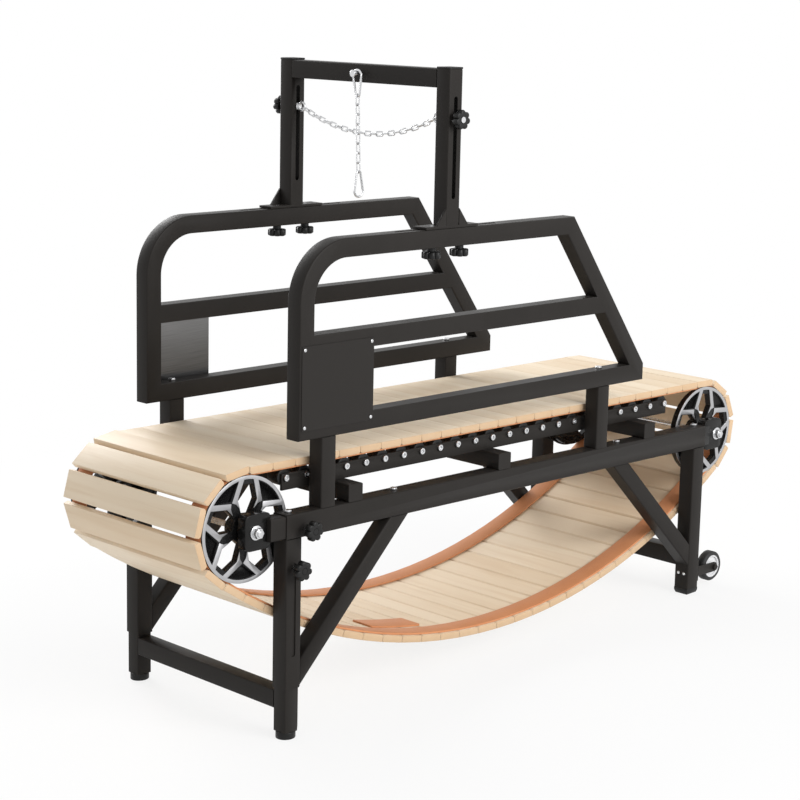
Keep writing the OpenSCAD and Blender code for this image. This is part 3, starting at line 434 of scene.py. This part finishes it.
# Welded tubes, blocks and plates
guard_low, guard_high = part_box("guard_r")
GUARD_SIDES = (guard_low.y, guard_high.y)
TUBES = ("side_rail_l", "side_rail_r", "front_leg_l", "front_leg_r", "rear_leg_l", "rear_leg_r", "leg_braces",
         "rear_crossbar", "deck_beams", "guard_posts", "stand_legs", "stand_crossbar", "gantry_posts",
         "gantry_crossbar", "tension_arms")
for tube in TUBES:
    dress(tube, coat_finish, TUBE_ROUND, tube_edge)
for guard in ("guard_l", "guard_r"):
    dress(guard, coat_finish, TUBE_ROUND, guard_edge)
for block in ("front_axle_blocks", "rear_axle_blocks"):
    dress(block, block_finish, BLOCK_ROUND)
for plate in ("roller_rail_l", "roller_rail_r", "gantry_bases", "caster_forks"):
    dress(plate, coat_finish, PLATE_ROUND, segments=2)
dress("guard_plates", plate_finish, PLATE_ROUND / 2, segments=1)
for fitting in ("gantry_caps", "rear_feet", "front_feet", "deck_rollers"):
    dress(fitting, plastic_finish, PLATE_ROUND * 2, segments=2)
for bolts in ("roller_bolts", "frame_bolts", "front_axle", "rear_axle", "leash_stud"):
    dress(bolts, zinc_finish, BOLT_ROUND, segments=2)
for wheel in ("wheel_front_l", "wheel_front_r", "wheel_rear_l", "wheel_rear_r"):
    dress(wheel, wheel_finish, WHEEL_ROUND, segments=2)
for caster in ("caster_wheel_l", "caster_wheel_r"):
    dress(caster, caster_wheel_finish, PLATE_ROUND * 2, segments=2)


# Nodes that keep their own solids
def finish_node(node, finish):
    for holder in frame["nodes"][node].material_slots:
        holder.material = finish


KEPT = ("eye_bolts", "cross_chain", "leash_hook_top", "hook_gate_top", "leash_chain", "leash_hook_bottom",
        "hook_gate_bottom", "front_bearings", "rear_bearings")
for node in KEPT:
    finish_node(node, zinc_finish)


# Star knobs
KNOB_LOBES = 7
LOBE_STEPS = 12
KNOB_R = 0.020
LOBE_R = 0.0064
COLLAR_R = 0.009
COLLAR_H = 0.008
COLLAR_EASE = 0.001
HEAD_H = 0.015
CENTRE_R = 0.0066
STUD_R = 0.004
STUD_SIDES = 24
# Rings of a knob's head from its collar up: height above the collar and how far it draws in from the lobes
HEAD_RINGS = ((0.0, 0.0030), (0.0005, 0.0012), (0.0020, 0.0), (0.0125, 0.0), (0.0140, 0.0008),
              (0.0148, 0.0024), (0.0150, 0.0050))
# Rings of the groove round a knob's centre: depth below the top and how far outside the centre's radius
CENTRE_RINGS = ((0.0004, 0.0006), (0.0012, 0.0), (0.0004, -0.0005))
# Length of stud that each kind of knob shows, and whether its centre is a bright insert
KNOBS = {"tension_knob": (0.011, False), "leg_knob": (0.0133, False), "anchor_knob": (0.0, True),
         "gantry_knob": (0.0436, False)}


def lobe_reach(angle):
    """Radius of the lobed outline at an angle."""
    step = 2 * math.pi / KNOB_LOBES
    off = (angle + step / 2) % step - step / 2
    centre = KNOB_R - LOBE_R
    return centre * math.cos(off) + math.sqrt(max(LOBE_R ** 2 - (centre * math.sin(off)) ** 2, 0))


def next_ring(bm, ring, height, reach):
    """Draws an edge loop out to a new ring at a height, whose radius is given for each angle."""
    made = bmesh.ops.extrude_edge_only(bm, edges=ring)["geom"]
    fresh = {part for part in made if isinstance(part, bmesh.types.BMVert)}
    for vert in fresh:
        angle = math.atan2(vert.co.y, vert.co.x)
        radius = reach(angle)
        vert.co = (radius * math.cos(angle), radius * math.sin(angle), height)
    return [part for part in made if isinstance(part, bmesh.types.BMEdge) and set(part.verts) <= fresh]


def star_knob(node, stud, bright):
    """Lobed knob on its collar and stud, turned onto its joint's axis."""
    joint = joints[node.replace("_knob_", "_knob_turn_")]
    bm = bmesh.new()
    bmesh.ops.create_circle(bm, cap_ends=True, segments=KNOB_LOBES * LOBE_STEPS, radius=COLLAR_R)
    ring = next_ring(bm, list(bm.edges), COLLAR_H - COLLAR_EASE, lambda angle: COLLAR_R)
    for rise, inset in HEAD_RINGS:
        ring = next_ring(bm, ring, COLLAR_H + rise, lambda angle: lobe_reach(angle) - inset)
    top = COLLAR_H + HEAD_H
    for depth, beyond in CENTRE_RINGS:
        ring = next_ring(bm, ring, top - depth, lambda angle: CENTRE_R + beyond)
    cap = bmesh.ops.contextual_create(bm, geom=ring)["faces"]
    for face in cap:
        face.material_index = int(bright)
    if stud:
        done = set(bm.faces)
        below = Matrix.Translation((0, 0, -stud / 2))
        bmesh.ops.create_cone(bm, cap_ends=True, segments=STUD_SIDES, radius1=STUD_R, radius2=STUD_R,
                              depth=stud, matrix=below)
        for face in set(bm.faces) - done:
            face.material_index = 1
    bmesh.ops.recalc_face_normals(bm, faces=bm.faces)
    turn = Vector(joint["axis"]).to_track_quat("Z", "X").to_matrix().to_4x4()
    bmesh.ops.transform(bm, matrix=Matrix.Translation(joint["pos_m"]) @ turn, verts=bm.verts)
    show(node + "_star", bm, body_of[node], [plastic_finish, zinc_finish], slot_of[node], node)


for kind, (stud, bright) in KNOBS.items():
    for node in sorted(n for n in body_of if n.startswith(kind)):
        star_knob(node, stud, bright)


# Belt
def belt_place(run):
    """Point and outward angle on the belt path, a length away from the middle of the top run."""
    if run < half_span:
        return Vector((-run, 0, path_r)), math.pi / 2
    if run < to_lower:
        return on_arc(-half_span, 0, path_r, math.pi / 2 + (run - half_span) / path_r)
    if run < to_rear:
        return on_arc(0, sag_z, sag_r, 3 * math.pi / 2 - sag_half + (run - to_lower) / sag_r)
    if run < to_top:
        return on_arc(half_span, 0, path_r, 3 * math.pi / 2 + sag_half + (run - to_rear) / path_r)
    return Vector((belt_length - run, 0, path_r)), math.pi / 2


def on_arc(x, z, radius, angle):
    return Vector((x + radius * math.cos(angle), 0, z + radius * math.sin(angle))), angle


def belt_frame(run):
    """Frame on the path: X back along the belt, Y across, Z outwards."""
    point, angle = belt_place(run)
    return deck @ Matrix.Translation(point) @ Matrix.Rotation(math.pi / 2 - angle, 4, "Y")


def slat_mesh():
    """One slat, notched along its inner edges and eased all round, with its own flat map."""
    bm = bmesh.new()
    bmesh.ops.create_cube(bm, size=1.0)
    bmesh.ops.scale(bm, vec=(slat_pitch - SLAT_GAP, 2 * half_belt, SLAT_T), verts=bm.verts)
    bmesh.ops.translate(bm, vec=(0, 0, STRAP_T + SLAT_T / 2), verts=bm.verts)
    lower = [e for e in bm.edges if max(v.co.z for v in e.verts) < SLAT_T / 2]
    inner = [e for e in lower if e.calc_length() > half_belt]
    round_edges(bm, inner, SLAT_NOTCH, 1)
    rim = [e for e in bm.edges if convex(e, CORNER_ANGLE)]
    round_edges(bm, rim, SLAT_EDGE, 2)
    flat = bm.loops.layers.uv.new("flat")
    for face in bm.faces:
        for loop in face.loops:
            loop[flat].uv = loop.vert.co.xy
    mesh = bpy.data.meshes.new("slat")
    bm.to_mesh(mesh)
    bm.free()
    return mesh


def belt_slats():
    one = slat_mesh()
    pick = random.Random(BELT_SEED)
    bm = bmesh.new()
    tone = bm.verts.layers.float.new("tone")
    for index in range(SLATS):
        done = len(bm.verts)
        bm.from_mesh(one)
        fresh = bm.verts[:][done:]
        shade = pick.random()
        for vert in fresh:
            vert[tone] = shade
        bmesh.ops.transform(bm, matrix=belt_frame((index + 0.5) * slat_pitch + SLAT_SHIFT), verts=fresh)
    return show("birch_slats", bm, "frame", [birch_finish], "birch", "belt_slats")


# Splice patch on the lower run, beside the near strap: its place along and across the belt, and its corner
PATCH_RUN = (1.492, 1.642)
PATCH_ACROSS = (-0.140, -0.080)
PATCH_CORNER = 0.005
PATCH_STEPS = 10


def splice_patch():
    """Flat piece of leather bent onto the inner face of the slats."""
    length = PATCH_RUN[1] - PATCH_RUN[0]
    width = PATCH_ACROSS[1] - PATCH_ACROSS[0]
    bm = bmesh.new()
    bmesh.ops.create_cube(bm, size=1.0)
    bmesh.ops.scale(bm, vec=(length, width, STRAP_T), verts=bm.verts)
    upright = [e for e in bm.edges if abs(e.verts[0].co.z - e.verts[1].co.z) > STRAP_T / 2]
    round_edges(bm, upright, PATCH_CORNER, 3)
    round_edges(bm, [e for e in bm.edges if convex(e, CORNER_ANGLE)], STRAP_ROUND, 2)
    for step in range(1, PATCH_STEPS):
        cut = ((step / PATCH_STEPS - 0.5) * length, 0, 0)
        everything = bm.verts[:] + bm.edges[:] + bm.faces[:]
        bmesh.ops.bisect_plane(bm, geom=everything, plane_co=cut, plane_no=(1, 0, 0))
    for vert in bm.verts:
        seat = belt_frame(sum(PATCH_RUN) / 2 - vert.co.x)
        vert.co = seat @ Vector((0, vert.co.y + sum(PATCH_ACROSS) / 2, vert.co.z + STRAP_T / 2))
    bmesh.ops.recalc_face_normals(bm, faces=bm.faces)
    show("strap_splice", bm, "frame", [leather_finish], "strap_leather")


belt_slats()
dress("belt_straps", leather_finish, STRAP_ROUND, segments=2)
splice_patch()


# Stage and light: the floor fades to white between two distances, from a share of white that it has near by
FLOOR_NEAR = 0.7
FLOOR_FAR = 2.0
FLOOR_GLOW = 0.82
FLOOR_HALF = 150.0
WORLD_AMBIENT = 0.62
# Lamps: place, point aimed at, width and power
LAMPS = {"key": ((0.6, -4.4, 2.4), (0, 0, 0.4), 2.6, 165), "back": ((0.4, 4.0, 1.9), (0, 0, 0.2), 2.6, 150)}


def floor_finish():
    """Pale floor that fades into the white surround away from the object."""
    floor = Finish("pale_floor", Specular_IOR_Level=0.0)
    flat = floor.node("ShaderNodeVectorMath", {"operation": "MULTIPLY"}, {0: floor.place(), 1: (1, 1, 0)})
    reach = floor.node("ShaderNodeVectorMath", {"operation": "LENGTH"}, {0: flat}, output=1)
    floor.surface(Base_Color=(0.86, 0.86, 0.86, 1), Roughness=0.9)
    white = floor.node("ShaderNodeEmission", values={"Color": (1, 1, 1, 1), "Strength": 1.0})
    share = floor.spread(reach, FLOOR_NEAR, FLOOR_FAR, FLOOR_GLOW, 1.0) * floor.seen()
    near = Wire(floor, floor.shader.outputs[0])
    mixed = floor.node("ShaderNodeMixShader", values={0: share, 1: near, 2: white})
    floor.feed(floor.tree.nodes["Material Output"].inputs["Surface"], mixed)
    return floor.material


def make_floor():
    bm = bmesh.new()
    bmesh.ops.create_grid(bm, x_segments=1, y_segments=1, size=FLOOR_HALF)
    mesh = bpy.data.meshes.new("floor")
    bm.to_mesh(mesh)
    bm.free()
    mesh.materials.append(floor_finish())
    floor = bpy.data.objects.new("floor", mesh)
    bpy.context.scene.collection.objects.link(floor)


def lamp(name, place, aim, size, power):
    light = bpy.data.lights.new(name, "AREA")
    light.shape = "DISK"
    light.size = size
    light.energy = power
    made = bpy.data.objects.new(name, light)
    made.location = place
    made.rotation_mode = "QUATERNION"
    made.rotation_quaternion = (Vector(aim) - Vector(place)).to_track_quat("-Z", "Y")
    bpy.context.scene.collection.objects.link(made)


def light_world():
    """White surround to look at, and a softer one to light by."""
    world = bpy.data.worlds.new("surround")
    bpy.context.scene.world = world
    world.use_nodes = True
    graph = Graph(world.node_tree)
    strength = graph.node("ShaderNodeMapRange", values={"Value": graph.seen(), "To Min": WORLD_AMBIENT})
    surround = graph.tree.nodes["Background"]
    graph.feed(surround.inputs["Color"], (1, 1, 1, 1))
    graph.feed(surround.inputs["Strength"], strength)


make_floor()
light_world()
for name, (place, aim, size, power) in LAMPS.items():
    lamp(name, place, aim, size, power)
bpy.context.scene.view_settings.view_transform = "Standard"
